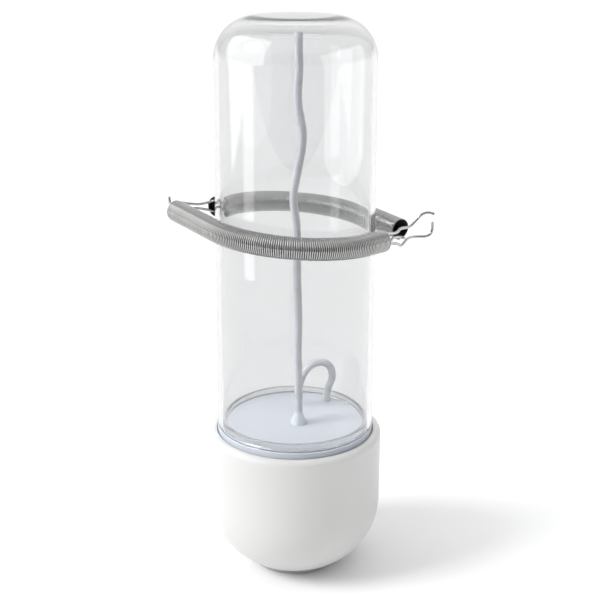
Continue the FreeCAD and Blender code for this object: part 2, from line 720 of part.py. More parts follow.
def make_band():
    """Two extension springs linked on the left, each holding a cage hook on the right."""
    level = Placement(Vector(0, 0, value("band_height")), Rotation(Vector(0, 1, 0), value("band_tilt")))
    front, front_tail, front_end = spring_path("front")
    back, back_tail, back_end = spring_path("back")
    feature("front_spring", coil_tube("front_spring", front), level)
    feature("back_spring", coil_tube("back_spring", back), level)
    bent_wire("front_hook", wire_start(front_end, 45) + wire_points(FRONT_HOOK), level)
    bent_wire("back_hook", wire_start(back_end, 270) + wire_points(BACK_HOOK), level)
    bent_wire("front_link", wire_start(front_tail, 180) + wire_points(FRONT_LINK), level)
    bent_wire("link_eye", wire_start(back_tail, 90)[:1] + wire_points(LINK_EYE) + wire_start(back_tail, 270)[:1],
              level)


NODES = [
    "base_cup", "foot_ring", "valve_plate", "tank_gasket", "plate_screws", "air_spigot", "spigot_washer",
    "spigot_nut", "air_tube", "intake_tube", "intake_socket", "intake_seal", "inner_hose", "hose_clips",
    "nipple_body", "nipple_washer", "nipple_nut", "nipple_seat", "nipple_pin", "nipple_poppet",
    "clear_tank", "front_spring", "back_spring", "front_hook", "back_hook", "front_link", "link_eye",
]

make_base_cup()
make_foot_ring()
make_plate()
make_gasket()
make_plate_screws()
make_air_spigot()
make_tubes()
make_intake_socket()
make_hose()
make_nipple()
make_tank()
make_band()
doc.recompute()

failed = [item.Label for item in doc.Objects if {"Invalid", "Error"} & set(item.State)]
if failed:
    raise SystemExit(f"failed objects: {failed}")
pieces = {label: doc.getObjectsByLabel(label)[0] for label in NODES}
broken = [label for label, item in pieces.items() if item.Shape.isNull() or not item.Shape.isValid()]
if broken:
    raise SystemExit(f"bad shapes: {broken}")

os.makedirs("parts", exist_ok=True)
for label, item in pieces.items():
    item.Shape.exportStep(f"parts/{label}.step")
    box = item.Shape.BoundBox
    print(f"{label}: {len(item.Shape.Solids)} solid(s), {item.Shape.Volume:.0f} mm3,",
          f"z {box.ZMin:.2f} to {box.ZMax:.2f}")
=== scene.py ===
# %% [markdown]
# # A poultry waterer fount
# A clear tank stands mouth down on a white cup base, and two close-wound springs hug it. The CAD model
# gives every size, place and joint, so this file never moves a CAD part: it rebuilds the pieces that show
# with smooth curves and real finishes, and each new piece rides on the CAD body it belongs to.

import math

import bmesh
import bpy
from mathutils import Matrix, Vector


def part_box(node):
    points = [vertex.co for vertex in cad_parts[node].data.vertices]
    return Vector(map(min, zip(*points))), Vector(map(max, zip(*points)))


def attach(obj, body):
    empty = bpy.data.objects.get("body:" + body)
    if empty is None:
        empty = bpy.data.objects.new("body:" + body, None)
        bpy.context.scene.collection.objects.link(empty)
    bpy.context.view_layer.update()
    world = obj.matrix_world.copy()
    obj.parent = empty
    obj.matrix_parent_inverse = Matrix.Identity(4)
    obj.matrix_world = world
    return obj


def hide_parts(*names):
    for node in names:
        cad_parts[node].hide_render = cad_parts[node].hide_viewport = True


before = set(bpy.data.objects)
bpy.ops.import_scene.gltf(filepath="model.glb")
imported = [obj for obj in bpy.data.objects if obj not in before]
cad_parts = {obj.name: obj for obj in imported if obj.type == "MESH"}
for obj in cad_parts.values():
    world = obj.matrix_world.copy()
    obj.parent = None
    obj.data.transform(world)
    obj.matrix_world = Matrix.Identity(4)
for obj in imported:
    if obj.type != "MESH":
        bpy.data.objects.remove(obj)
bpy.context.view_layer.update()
MM = 0.001

# %% [markdown]
# ## Sizes from the frame
# A lathe-turned piece only needs its outline, so the boxes of a few CAD nodes give most of the numbers.
# What a box can't tell, such as a wall or a rounding, is named here once, as a maker would write it down.

# %% Sizes
TANK_LOW, TANK_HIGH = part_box("clear_tank")
CUP_LOW, CUP_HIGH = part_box("base_cup")
FOOT_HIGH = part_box("foot_ring")[1]
GASKET_LOW, GASKET_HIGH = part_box("tank_gasket")
PLATE_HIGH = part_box("valve_plate")[1]

TANK_RADIUS = TANK_HIGH[0]
TANK_WALL = 2.5 * MM
TANK_NECK = TANK_RADIUS - 1.2 * MM
SHOULDER = 20.0 * MM
SEAT = TANK_LOW[2]
TANK_TOP = TANK_HIGH[2]
TANK_BEND = TANK_TOP - SHOULDER

CUP_RADIUS = CUP_HIGH[0]
CUP_WALL = 2.5 * MM
CUP_ROUND = 36.6 * MM
CUP_FLAT = 23.9 * MM
RIM = CUP_HIGH[2]
RIM_ROUND = 3.0 * MM
BORE = TANK_RADIUS + 0.4 * MM
COLLAR_DEPTH = 12.0 * MM
WELL_RADIUS = 12.0 * MM
WELL_DEPTH = 16.5 * MM
CUP_BOTTOM = CUP_LOW[2]

LIP_TOP = PLATE_HIGH[2]
LIP_RADIUS = TANK_RADIUS - TANK_WALL - 0.3 * MM
LIP_WIDTH = 1.9 * MM
FLOOR = SEAT + 0.3 * MM
PLATE_THICK = 2.5 * MM

TUBING = 2.0 * MM
TUBING_BORE = 1.35 * MM
TUBING_FIT = 0.05 * MM
print("tank", round(TANK_RADIUS * 2000, 1), "mm across,", round(TANK_TOP * 1000, 1), "mm to the top")

# %% [markdown]
# ## The camera
# The camera comes first, because every later choice is judged through it. It stands a little over half a
# metre off, above the band, and looks down. A lens of about 70 mm keeps the tall tank's sides nearly
# parallel, and a hair of roll matches the way a hand-held camera leans.

# %% Camera
LENS = 69.5
CAMERA_PLACE = Vector((2.4, -551.0, 329.4)) * MM
LOOK_DOWN = math.radians(18.66)
ROLL = math.radians(0.2)

camera = bpy.data.objects.new("camera", bpy.data.cameras.new("camera"))
bpy.context.scene.collection.objects.link(camera)
camera.data.lens = LENS
camera.data.sensor_width = 36.0
camera.data.dof.use_dof = False
turn = Matrix.Rotation(math.pi / 2 - LOOK_DOWN, 4, "X") @ Matrix.Rotation(ROLL, 4, "Z")
camera.matrix_world = Matrix.Translation(CAMERA_PLACE) @ turn
bpy.context.scene.camera = camera

# %% [markdown]
# ## Shader maths in Python
# A material is a small sum: noise here, a mask there. Writing such sums with + and * reads better than
# wiring nodes by hand, so one class wraps a socket and turns each operator into a Math node. Every other
# node comes from one method that takes the node's type, its settings and the values of its sockets.

# %% The socket class
class Socket:
    """One output of a material's nodes that takes part in Python sums."""

    def __init__(self, tree, link):
        self.tree = tree
        self.link = link

    def node(self, kind, settings=None, out=0, **values):
        """A new node of that kind in the same tree; returns one of its outputs."""
        made = self.tree.nodes.new(kind)
        for name, setting in (settings or {}).items():
            setattr(made, name, setting)
        for name, given in values.items():
            key = int(name[1:]) if name[1:].isdigit() else name.replace("_", " ")
            place = made.inputs[key]
            if isinstance(given, Socket):
                self.tree.links.new(given.link, place)
            else:
                place.default_value = given
        return Socket(self.tree, made.outputs[out])

    def sum(self, operation, first, second):
        return self.node("ShaderNodeMath", {"operation": operation}, i0=first, i1=second)

    def __add__(self, other):
        return self.sum("ADD", self, other)

    def __radd__(self, other):
        return self.sum("ADD", other, self)

    def __sub__(self, other):
        return self.sum("SUBTRACT", self, other)

    def __rsub__(self, other):
        return self.sum("SUBTRACT", other, self)

    def __mul__(self, other):
        return self.sum("MULTIPLY", self, other)

    def __rmul__(self, other):
        return self.sum("MULTIPLY", other, self)

    def between(self, low, high):
        """0 below low, 1 above high, smooth between."""
        smooth = {"interpolation_type": "SMOOTHSTEP"}
        return self.node("ShaderNodeMapRange", smooth, i0=self, i1=low, i2=high)

    def mix(self, dark, light):
        """A colour between two others, by this number."""
        return self.node("ShaderNodeMix", {"data_type": "RGBA"}, out=2, i0=self, i6=dark, i7=light)


def new_finish(name, **constants):
    """A material with one Principled shader; returns the material, its shader and a socket to sum with."""
    material = bpy.data.materials.new(name)
    material.use_nodes = True
    tree = material.node_tree
    shader = tree.nodes["Principled BSDF"]
    for key, constant in constants.items():
        shader.inputs[key.replace("_", " ")].default_value = constant
    place = tree.nodes.new("ShaderNodeTexCoord")
    return material, shader, Socket(tree, place.outputs["Object"])


def feed(shader, name, value):
    """Link a sum into one of the shader's inputs."""
    value.tree.links.new(value.link, shader.inputs[name])


def grain(place, scale, detail=2.0, roughness=0.5):
    """Soft noise of a given size: scale counts its cells in a metre."""
    return place.node("ShaderNodeTexNoise", Vector=place, Scale=scale, Detail=detail, Roughness=roughness)


def bump(place, height, strength, distance):
    """A Bump node fed by a height."""
    return place.node("ShaderNodeBump", Height=height, Strength=strength, Distance=distance)


def height_of(place):
    """The height above the floor, in metres."""
    return place.node("ShaderNodeSeparateXYZ", out=2, Vector=place)


# %% [markdown]
# ## White moulded plastic
# The base is polypropylene: bright white, a satin skin that blurs reflections, and a very faint orange peel
# from the mould. Light soaks a little way in, so a touch of subsurface softens the shadow side. Handling
# leaves slightly duller patches, and over the last centimetre above the floor the colour is a little darker
# and the gloss duller.

# %% White plastic
def make_white_plastic(name, clean, dull, shine):
    """Satin plastic: orange peel, patches of wear, and darker, rougher colour over the last centimetre above
    the floor.
    """
    material, shader, place = new_finish(
        name, IOR=1.49, Subsurface_Weight=0.12, Subsurface_Scale=0.004, Specular_IOR_Level=0.45)
    shader.inputs["Subsurface Radius"].default_value = (1.0, 0.95, 0.9)
    patches = grain(place, 28.0, 4.0)
    # Darker and rougher towards the floor: over the lowest 10 mm the colour runs towards the dull one.
    near_floor = 1.0 - height_of(place).between(0.0005, 0.010)
    feed(shader, "Base Color", (patches * 0.25 + near_floor * 0.35).mix(clean, dull))
    feed(shader, "Roughness", shine + patches * 0.10 + near_floor * 0.1)
    peel = grain(place, 900.0, 3.0) + 0.5 * grain(place, 2600.0, 2.0)
    feed(shader, "Normal", bump(place, peel, 0.05, 0.0002))
    return material


WHITE = make_white_plastic("white_polypropylene", (0.70, 0.70, 0.695, 1), (0.64, 0.64, 0.635, 1), 0.30)
PLATE = make_white_plastic("bluish_plate", (0.565, 0.595, 0.650, 1), (0.55, 0.58, 0.635, 1), 0.30)
FOOT = make_white_plastic("foot_plastic", (0.62, 0.62, 0.62, 1), (0.52, 0.52, 0.52, 1), 0.48)
print("plastics made")

# %% [markdown]
# ## The clear tank's plastic
# Clear polystyrene bends and mirrors light like glass, and it is a little grey where light passes both
# walls. A plain glass shader would also throw a hard dark shadow, because rays from lamps can't find their
# way through it, so for shadow rays the wall is simply transparent. Fine scuffs show in its gloss.

# %% Clear plastic
def make_clear_plastic():
    """Clear moulded plastic that lets lamp light through."""
    material, shader, place = new_finish(
        "clear_polystyrene", IOR=1.52, Transmission_Weight=1.0, Specular_IOR_Level=0.5)
    haze = grain(place, 45.0, 5.0)
    feed(shader, "Base Color", haze.mix((0.815, 0.818, 0.822, 1), (0.80, 0.803, 0.807, 1)))
    feed(shader, "Roughness", 0.008 + 0.02 * grain(place, 160.0, 4.0).between(0.58, 0.8))
    feed(shader, "Normal", bump(place, grain(place, 22.0, 2.0), 0.06, 0.0004))
    tree = material.node_tree
    output = tree.nodes["Material Output"]
    light_path = place.node("ShaderNodeLightPath", out=1)
    veil = place.node("ShaderNodeBsdfTransparent", Color=(0.88, 0.885, 0.89, 1))
    blend = tree.nodes.new("ShaderNodeMixShader")
    tree.links.new(light_path.link, blend.inputs[0])
    tree.links.new(shader.outputs[0], blend.inputs[1])
    tree.links.new(veil.link, blend.inputs[2])
    tree.links.new(blend.outputs[0], output.inputs["Surface"])
    return material


CLEAR = make_clear_plastic()

# %% [markdown]
# ## Metals, tubing and rubber
# The springs are plated steel wire: bright, with a fine drawn grain and grey in places. The tubing is soft
# white vinyl with a low sheen. The small fittings under the base get turned brass, steel and black rubber.

# %% Other finishes
def make_metal(name, light, dark, shine, spread):
    """Metal with patches of tone and a fine grain in its gloss."""
    material, shader, place = new_finish(name, Metallic=1.0)
    patches = grain(place, 90.0, 4.0)
    feed(shader, "Base Color", patches.mix(dark, light))
    feed(shader, "Roughness", shine + spread * grain(place, 700.0, 3.0))
    feed(shader, "Normal", bump(place, grain(place, 3000.0, 2.0), 0.04, 0.0001))
    return material


def make_soft(name, light, dark, shine, depth):
    """Vinyl or rubber: one colour with faint mottling and a fine skin."""
    material, shader, place = new_finish(
        name, IOR=1.47, Subsurface_Weight=depth, Subsurface_Scale=0.002)
    mottle = grain(place, 120.0, 4.0)
    feed(shader, "Base Color", mottle.mix(dark, light))
    feed(shader, "Roughness", shine + 0.12 * mottle)
    feed(shader, "Normal", bump(place, grain(place, 1500.0, 3.0), 0.05, 0.0001))
    return material


def make_spring_wire():
    """Plated wire with painted shade in the grooves between the turns, where the crest attribute is low."""
    material, shader, place = new_finish("plated_spring_wire", Metallic=1.0)
    patches = grain(place, 90.0, 4.0)
    plating = patches.mix((0.44, 0.44, 0.435, 1), (0.64, 0.64, 0.63, 1))
    crest = place.node("ShaderNodeAttribute", {"attribute_name": "crest"}, out=2).between(0.3, 0.95)
    # Painted shade: where the crest attribute is low, between the turns, the colour runs to near-black.
    feed(shader, "Base Color", crest.mix((0.035, 0.035, 0.035, 1), plating))
    feed(shader, "Roughness", 0.30 - 0.16 * crest + 0.06 * grain(place, 700.0, 3.0))
    feed(shader, "Normal", bump(place, grain(place, 3000.0, 2.0), 0.04, 0.0001))
    return material


SPRING = make_spring_wire()
STEEL = make_metal("fitting_steel", (0.66, 0.66, 0.67, 1), (0.50, 0.50, 0.52, 1), 0.22, 0.15)
BRASS = make_metal("turned_brass", (0.80, 0.62, 0.30, 1), (0.66, 0.48, 0.20, 1), 0.20, 0.15)
VINYL = make_soft("white_vinyl", (0.53, 0.535, 0.565, 1), (0.48, 0.485, 0.515, 1), 0.22, 0.0)
RUBBER = make_soft("black_rubber", (0.05, 0.05, 0.05, 1), (0.025, 0.025, 0.025, 1), 0.55, 0.0)
GASKET = make_soft("milky_silicone", (0.60, 0.64, 0.71, 1), (0.57, 0.61, 0.69, 1), 0.25, 0.1)

# %% [markdown]
# ## Turned pieces
# Tank, cup, plate and rings are all round, so each is an outline turned about its axis. The outline is a
# list of corners, each with its own rounding; the corner is replaced by an arc that touches both sides.
# Even the small roundings matter: a moulded edge catches a thin line of light where a sharp one doesn't.

# %% Outline and lathe
TINY = 1e-7


def rounded(corners, steps=8):
    """A closed outline from (radius, height, rounding) corners."""
    points = []
    count = len(corners)
    for index, (across, up, radius) in enumerate(corners):
        corner = Vector((across, up))
        if radius <= 0:
            points.append(corner)
            continue
        back = (Vector(corners[index - 1][:2]) - corner).normalized()
        ahead = (Vector(corners[(index + 1) % count][:2]) - corner).normalized()
        half = back.angle(ahead) / 2
        reach = radius / math.tan(half)
        middle = corner + (back + ahead).normalized() * (radius / math.sin(half))
        start, end = corner + back * reach - middle, corner + ahead * reach - middle
        sweep = start.angle_signed(end)
        for step in range(steps + 1):
            angle = -sweep * step / steps
            points.append(middle + Matrix.Rotation(angle, 2) @ start)
    return points


def guarded(points, near=0.25 * MM, longest=12.0 * MM):
    """The outline with extra points in long straight stretches, so that smooth shading stays flat."""
    result = []
    for start, end in zip(points, points[1:] + points[:1]):
        result.append(start)
        length = (end - start).length
        if length < 4 * near or (start.x < TINY and end.x < TINY):
            continue
        pieces = math.ceil(length / longest)
        shares = [near / length] + [step / pieces for step in range(1, pieces)] + [1.0 - near / length]
        result += [start.lerp(end, share) for share in shares]
    return result


def lathe(build, outline, centre=(0.0, 0.0), segments=160):
    """Add a closed outline turned about a vertical axis. A point on the axis becomes a single pole."""
    rings = []
    for across, up in guarded(outline):
        if across < TINY:
            rings.append([build.verts.new((centre[0], centre[1], up))])
            continue
        spots = (2 * math.pi * step / segments for step in range(segments))
        rings.append([
            build.verts.new((centre[0] + across * math.cos(a), centre[1] + across * math.sin(a), up))
            for a in spots])
    for low, high in zip(rings, rings[1:] + rings[:1]):
        if len(low) == 1 and len(high) == 1:
            continue
        for step in range(segments):
            after = (step + 1) % segments
            corners = [low[step % len(low)], low[after % len(low)], high[after % len(high)],
                       high[step % len(high)]]
            build.faces.new(list(dict.fromkeys(corners)))


def arc_points(across, up, radius, start, end, steps=28):
    """Points of an arc round (across, up), from one angle to another, in radians."""
    turns = (start + (end - start) * step / steps for step in range(steps + 1))
    return [Vector((across + radius * math.cos(a), up + radius * math.sin(a))) for a in turns]


def as_corners(points):
    """Points of an arc as corners that are left sharp."""
    return [(point.x, point.y, 0.0) for point in points]


def mesh_of(build, name):
    """A finished mesh whose faces all point outwards."""
    bmesh.ops.recalc_face_normals(build, faces=build.faces)
    mesh = bpy.data.meshes.new(name)
    build.to_mesh(mesh)
    build.free()
    return mesh


def finish_piece(name, mesh, material, body, stands_for, crease=28.0):
    """Shade a mesh, give it its finish and hang it on its CAD body."""
    mesh.materials.clear()
    mesh.materials.append(material)
    mesh.polygons.foreach_set("use_smooth", [True] * len(mesh.polygons))
    mesh.set_sharp_from_angle(angle=math.radians(crease))
    piece = bpy.data.objects.new(name, mesh)
    bpy.context.scene.collection.objects.link(piece)
    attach(piece, body)
    if stands_for:
        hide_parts(*stands_for)
    print(name, len(mesh.polygons), "faces")
    return piece


# %% [markdown]
# ## The tank
# The real tank is moulded in one piece. Its wall is a closed shell with an inside and an outside, because
# clear plastic shows both: the dark rims and rings come from light bending in that wall. The inside of the
# shoulder is rounded half a millimetre tighter than an even wall would be, so the corner is slightly thick
# there, and that draws a thin ring round the flat top.

# %% Tank
CORNER_EXTRA = 0.5 * MM
TANK_INNER_ROUND = SHOULDER - TANK_WALL - CORNER_EXTRA


def make_tank():
    inner_neck = TANK_NECK - TANK_WALL
    outline = [(TANK_RADIUS - TANK_WALL, SEAT, 0.3 * MM), (TANK_RADIUS, SEAT, 0.5 * MM)]
    outline += as_corners(arc_points(TANK_NECK - SHOULDER, TANK_BEND, SHOULDER, 0.0, math.pi / 2))
    outline += [(0.0, TANK_TOP, 0.0), (0.0, TANK_TOP - TANK_WALL, 0.0)]
    inner_bend = TANK_TOP - TANK_WALL - TANK_INNER_ROUND
    outline += as_corners(
        arc_points(inner_neck - TANK_INNER_ROUND, inner_bend, TANK_INNER_ROUND, math.pi / 2, 0.0))
    build = bmesh.new()
    lathe(build, rounded(outline), segments=192)
    return finish_piece("tank", mesh_of(build, "tank"), CLEAR, "tank", ["clear_tank"])


make_tank()

# %% [markdown]
# ## The cup base
# The cup's wall drops straight from a thick rounded rim and curves into a flat foot. Its inside is hollow,
# a recess under it holds the drinker, and three posts carry the screws. The ring that it stands on is a
# separate flat ring, set in a little, so a thin dark line separates the two.

# %% Cup and foot
SCREW_CIRCLE = 19.0 * MM
FIRST_SCREW = math.radians(116.6)
SCREWS = 3
POST_RADIUS, DRIVER_WELL, SHANK_HOLE = 5.0 * MM, 3.5 * MM, 1.8 * MM
POST_TOP, POST_SHELF = 55.0 * MM, 3.0 * MM
NIPPLE_HOLE = 4.5 * MM


def screw_spots():
    """The places of the screws round the axis."""
    turns = (FIRST_SCREW + 2 * math.pi * index / SCREWS for index in range(SCREWS))
    return [(SCREW_CIRCLE * math.cos(a), SCREW_CIRCLE * math.sin(a)) for a in turns]


def make_cup():
    centre = CUP_RADIUS - CUP_ROUND
    bend = CUP_BOTTOM + math.sqrt(CUP_ROUND ** 2 - (CUP_FLAT - centre) ** 2)
    floor = CUP_BOTTOM + CUP_WALL
    inside = CUP_RADIUS - CUP_WALL
    collar_end = RIM - COLLAR_DEPTH
    roof = WELL_DEPTH + CUP_WALL
    outline = [(WELL_RADIUS, CUP_BOTTOM, 0.5 * MM)]
    outer_start = -math.asin((bend - CUP_BOTTOM) / CUP_ROUND)
    outline += as_corners(arc_points(centre, bend, CUP_ROUND, outer_start, 0.0))
    outline += as_corners(
        arc_points(CUP_RADIUS - RIM_ROUND, RIM - RIM_ROUND, RIM_ROUND, 0.0, math.pi / 2, 12))
    outline += [
        (BORE, RIM, 0.4 * MM), (BORE, collar_end, 0.0), (inside, collar_end - inside + BORE, 1.0 * MM),
    ]
    inner = CUP_ROUND - CUP_WALL
    outline += as_corners(arc_points(centre, bend, inner, 0.0, -math.asin((bend - floor) / inner)))
    outline += [
        (WELL_RADIUS + CUP_WALL, floor, 0.0), (WELL_RADIUS + CUP_WALL, roof, 0.5 * MM),
        (NIPPLE_HOLE, roof, 0.0), (NIPPLE_HOLE, WELL_DEPTH, 0.0), (WELL_RADIUS, WELL_DEPTH, 0.5 * MM),
    ]
    build = bmesh.new()
    lathe(build, rounded(outline), segments=192)
    shelf = POST_TOP - POST_SHELF
    post = [(DRIVER_WELL, floor, 0.0), (POST_RADIUS, floor, 0.0), (POST_RADIUS, POST_TOP, 0.3 * MM),
            (SHANK_HOLE, POST_TOP, 0.0), (SHANK_HOLE, shelf, 0.0), (DRIVER_WELL, shelf, 0.0)]
    for spot in screw_spots():
        lathe(build, rounded(post), spot, segments=32)
    return finish_piece("cup", mesh_of(build, "cup"), WHITE, "base", ["base_cup"])


def make_foot():
    outer, height = FOOT_HIGH[0], FOOT_HIGH[2]
    ring = [(WELL_RADIUS, 0.0, 0.4 * MM), (outer, 0.0, 0.5 * MM), (outer, height, 0.5 * MM),
            (WELL_RADIUS, height, 0.2 * MM)]
    build = bmesh.new()
    lathe(build, rounded(ring), segments=160)
    return finish_piece("foot", mesh_of(build, "foot"), FOOT, "base", ["foot_ring"])


make_cup()
make_foot()

# %% [markdown]
# ## The plate, its lip and its gasket
# A bluish plate closes the cup and seats the tank. The raised lip just inside the tank's mouth looks clear,
# so it is a ring of its own in clear plastic that stands a hair above the plate's floor and rides with it.
# Water leaves through the intake hole near the back right edge. That hole and the spigot's are cut with a
# Boolean modifier, which is quick on a mesh this size, and the modifier is applied at once.

# %% Plate, lip and gasket
SPIGOT_SPOT = (1.9 * MM, -3.5 * MM)
SPIGOT_HOLE = 3.1 * MM
INTAKE_TURN = math.radians(56.6)
INTAKE_REACH = TANK_RADIUS - 9.46 * MM
INTAKE = Vector((INTAKE_REACH * math.cos(INTAKE_TURN), INTAKE_REACH * math.sin(INTAKE_TURN), FLOOR))
UNDERSIDE = FLOOR - PLATE_THICK
SKIRT_WALL, SKIRT_DEPTH = 2.0 * MM, 9.0 * MM
BOSS_RADIUS, PILOT_HOLE = 4.0 * MM, 1.5 * MM
SOCKET_RADIUS, SOCKET_HOLE, SOCKET_DEPTH = 7.3 * MM, 5.55 * MM, 5.5 * MM
LIP_GAP = 0.02 * MM
GASKET_GAP = 0.2 * MM


def evaluated_mesh(holder):
    """A copy of an object's mesh with its modifiers applied."""
    evaluated = holder.evaluated_get(bpy.context.evaluated_depsgraph_get())
    return bpy.data.meshes.new_from_object(evaluated)


def cut_hole(mesh, spot, radius):
    """Cut a round vertical hole right through the plate's floor."""
    build = bmesh.new()
    lathe(build, [Vector((0.0, UNDERSIDE - MM)), Vector((radius, UNDERSIDE - MM)),
                  Vector((radius, FLOOR + MM)), Vector((0.0, FLOOR + MM))], spot, segments=40)
    cutter = bpy.data.objects.new("cutter", mesh_of(build, "cutter"))
    holder = bpy.data.objects.new("holder", mesh)
    for item in (cutter, holder):
        bpy.context.scene.collection.objects.link(item)
    cut = holder.modifiers.new("hole", "BOOLEAN")
    cut.operation = "DIFFERENCE"
    cut.object = cutter
    result = evaluated_mesh(holder)
    bpy.data.objects.remove(cutter)
    bpy.data.objects.remove(holder)
    return result


def make_plate():
    wall_end, flange = PLATE_HIGH[0] - SKIRT_WALL, GASKET_LOW[2]
    skirt_end = SEAT - SKIRT_DEPTH
    outline = [
        (0.0, UNDERSIDE, 0.0), (wall_end, UNDERSIDE, 0.5 * MM), (wall_end, skirt_end, 0.3 * MM),
        (PLATE_HIGH[0], skirt_end, 0.5 * MM), (PLATE_HIGH[0], flange, 0.2 * MM), (LIP_RADIUS, flange, 0.0),
        (LIP_RADIUS, FLOOR, 0.2 * MM), (0.0, FLOOR, 0.0),
    ]
    build = bmesh.new()
    lathe(build, rounded(outline), segments=160)
    mesh = mesh_of(build, "plate")
    mesh = cut_hole(mesh, (INTAKE.x, INTAKE.y), TUBING + TUBING_FIT)
    mesh = cut_hole(mesh, SPIGOT_SPOT, SPIGOT_HOLE)
    build = bmesh.new()
    build.from_mesh(mesh)
    boss = [(PILOT_HOLE, POST_TOP, 0.0), (BOSS_RADIUS, POST_TOP, 0.3 * MM),
            (BOSS_RADIUS, UNDERSIDE, 0.0), (PILOT_HOLE, UNDERSIDE, 0.0)]
    for spot in screw_spots():
        lathe(build, rounded(boss), spot, segments=32)
    socket_end = UNDERSIDE - SOCKET_DEPTH
    socket = [(SOCKET_HOLE, socket_end, 0.0), (SOCKET_RADIUS, socket_end, 0.3 * MM),
              (SOCKET_RADIUS, UNDERSIDE, 0.0), (SOCKET_HOLE, UNDERSIDE, 0.0)]
    lathe(build, rounded(socket), (INTAKE.x, INTAKE.y), segments=40)
    build.to_mesh(mesh)
    build.free()
    return finish_piece("plate", mesh, PLATE, "base", ["valve_plate"])


def make_lip():
    """The clear ring that stands for no CAD piece: in the CAD the lip is part of the plate."""
    inner, bottom = LIP_RADIUS - LIP_WIDTH, FLOOR + LIP_GAP
    ring = [(inner, bottom, 0.3 * MM), (LIP_RADIUS, bottom, 0.3 * MM), (LIP_RADIUS, LIP_TOP, 0.5 * MM),
            (inner, LIP_TOP, 0.8 * MM)]
    build = bmesh.new()
    lathe(build, rounded(ring), segments=192)
    return finish_piece("lip", mesh_of(build, "lip"), CLEAR, "base", [])


def make_gasket():
    inner = LIP_RADIUS + GASKET_GAP
    ring = [(inner, GASKET_LOW[2], 0.2 * MM), (GASKET_HIGH[0], GASKET_LOW[2], 0.4 * MM),
            (GASKET_HIGH[0], GASKET_HIGH[2], 0.4 * MM), (inner, GASKET_HIGH[2], 0.2 * MM)]
    build = bmesh.new()
    lathe(build, rounded(ring), segments=160)
    return finish_piece("gasket", mesh_of(build, "gasket"), GASKET, "base", ["tank_gasket"])


make_plate()
make_lip()
make_gasket()

# %% [markdown]
# ## Tubing
# Tubing and wire follow a path. A NURBS curve through a few given points gives a smooth centre line: the
# curve only leans towards its points, as a soft tube does. The curve is turned into a plain chain of points
# first, and a ring of vertices is carried along it, so that the tube gets a real bore and cut ends.

# %% Centre lines and tubes
def smooth_line(points, resolution=8):
    """Points of a NURBS centre line that leans towards the given points."""
    curve = bpy.data.curves.new("line", "CURVE")
    curve.dimensions = "3D"
    spline = curve.splines.new("NURBS")
    spline.points.add(len(points) - 1)
    for spot, point in zip(spline.points, points):
        spot.co = (*point, 1.0)
    spline.order_u = 3
    spline.use_endpoint_u = True
    spline.resolution_u = resolution
    holder = bpy.data.objects.new("line", curve)
    chain = [vertex.co.copy() for vertex in bpy.data.meshes.new_from_object(holder).vertices]
    bpy.data.objects.remove(holder)
    apart = [(after - before).length > TINY for before, after in zip(chain, chain[1:])]
    return chain[:1] + [point for point, kept in zip(chain[1:], apart) if kept]


def carried_rings(chain, sides):
    """For each point of a chain, unit vectors of a ring that doesn't twist along it."""
    headings = [(after - before).normalized() for before, after in zip(chain, chain[1:])]
    middle = [(a + b).normalized() for a, b in zip(headings, headings[1:])]
    headings = [headings[0]] + middle + [headings[-1]]
    side = headings[0].orthogonal().normalized()
    rings = []
    for heading in headings:
        side = (side - heading * side.dot(heading)).normalized()
        up = heading.cross(side)
        turns = (2 * math.pi * step / sides for step in range(sides))
        rings.append([side * math.cos(a) + up * math.sin(a) for a in turns])
    return rings


BAR_END_SHARES = (0.85, 0.5)
BAR_END_FLATTENING = 0.4


def join_rings(build, low, high):
    """Fill the belt between two rings of as many vertices."""
    for step in range(len(low)):
        after = (step + 1) % len(low)
        build.faces.new([low[step], low[after], high[after], high[step]])


def tube(build, chain, outer, inner=0.0, sides=20):
    """Add a tube along a chain of points. With no inner radius it is a bar with rounded ends."""
    rings = carried_rings(chain, sides)
    skins = []
    for radius in [outer] + ([inner] if inner else []):
        skins.append([[build.verts.new(point + arm * radius) for arm in ring]
                      for point, ring in zip(chain, rings)])
    for skin in skins:
        for low, high in zip(skin, skin[1:]):
            join_rings(build, low, high)
    for end, beyond in ((0, chain[0] - chain[1]), (-1, chain[-1] - chain[-2])):
        if inner:
            join_rings(build, skins[0][end], skins[1][end])
            continue
        last = skins[0][end]
        for share in BAR_END_SHARES:
            lift = beyond.normalized() * outer * math.sqrt(1 - share ** 2) * BAR_END_FLATTENING
            ring = [build.verts.new(chain[end] + arm * outer * share + lift) for arm in rings[end]]
            join_rings(build, last, ring)
            last = ring
        build.faces.new(last)


# %% [markdown]
# The breather tube stands on a flared spigot and wanders a little on its way up, because it was cut from a
# coil. The intake tube is a short swan-neck that draws the water off the plate's floor.

# %% Air tube, spigot and intake tube
FLARE_HEIGHT, FLARE_RADIUS, FLARE_EDGE = 6.6 * MM, 4.15 * MM, 0.4 * MM
FLARE_STEPS, FLARE_CURVE = 14, 1.35
SHANK_RADIUS, SHANK_DEPTH = 3.0 * MM, 6.7 * MM
STEM_LENGTH = 8.0 * MM
VENT_BORE = 0.9 * MM
AIR_ROUTE = [
    (0.0, 0.0, 0.0), (0.0, 0.0, 18.0), (-0.7, 0.3, 33.0), (-0.1, 0.0, 48.0), (-0.8, -0.5, 66.0),
    (-1.0, 0.0, 84.0), (-1.2, 0.6, 99.5), (-3.3, 0.3, 112.5), (-1.2, -0.3, 124.0), (2.4, -0.6, 142.5),
    (-1.4, 0.0, 159.0), (-0.1, 0.5, 173.5), (-0.6, 0.3, 183.5), (-0.5, 0.0, 192.3),
]
INTAKE_ROUTE = [
    (0.0, 0.0, -9.5), (0.0, 0.0, 5.5), (4.3, -1.2, 14.5), (1.2, -2.6, 23.2), (-8.0, -4.6, 23.6),
    (-14.4, -6.4, 15.0), (-15.6, -7.0, 5.5),
]
FLARE_TOP = Vector((*SPIGOT_SPOT, FLOOR + FLARE_HEIGHT))


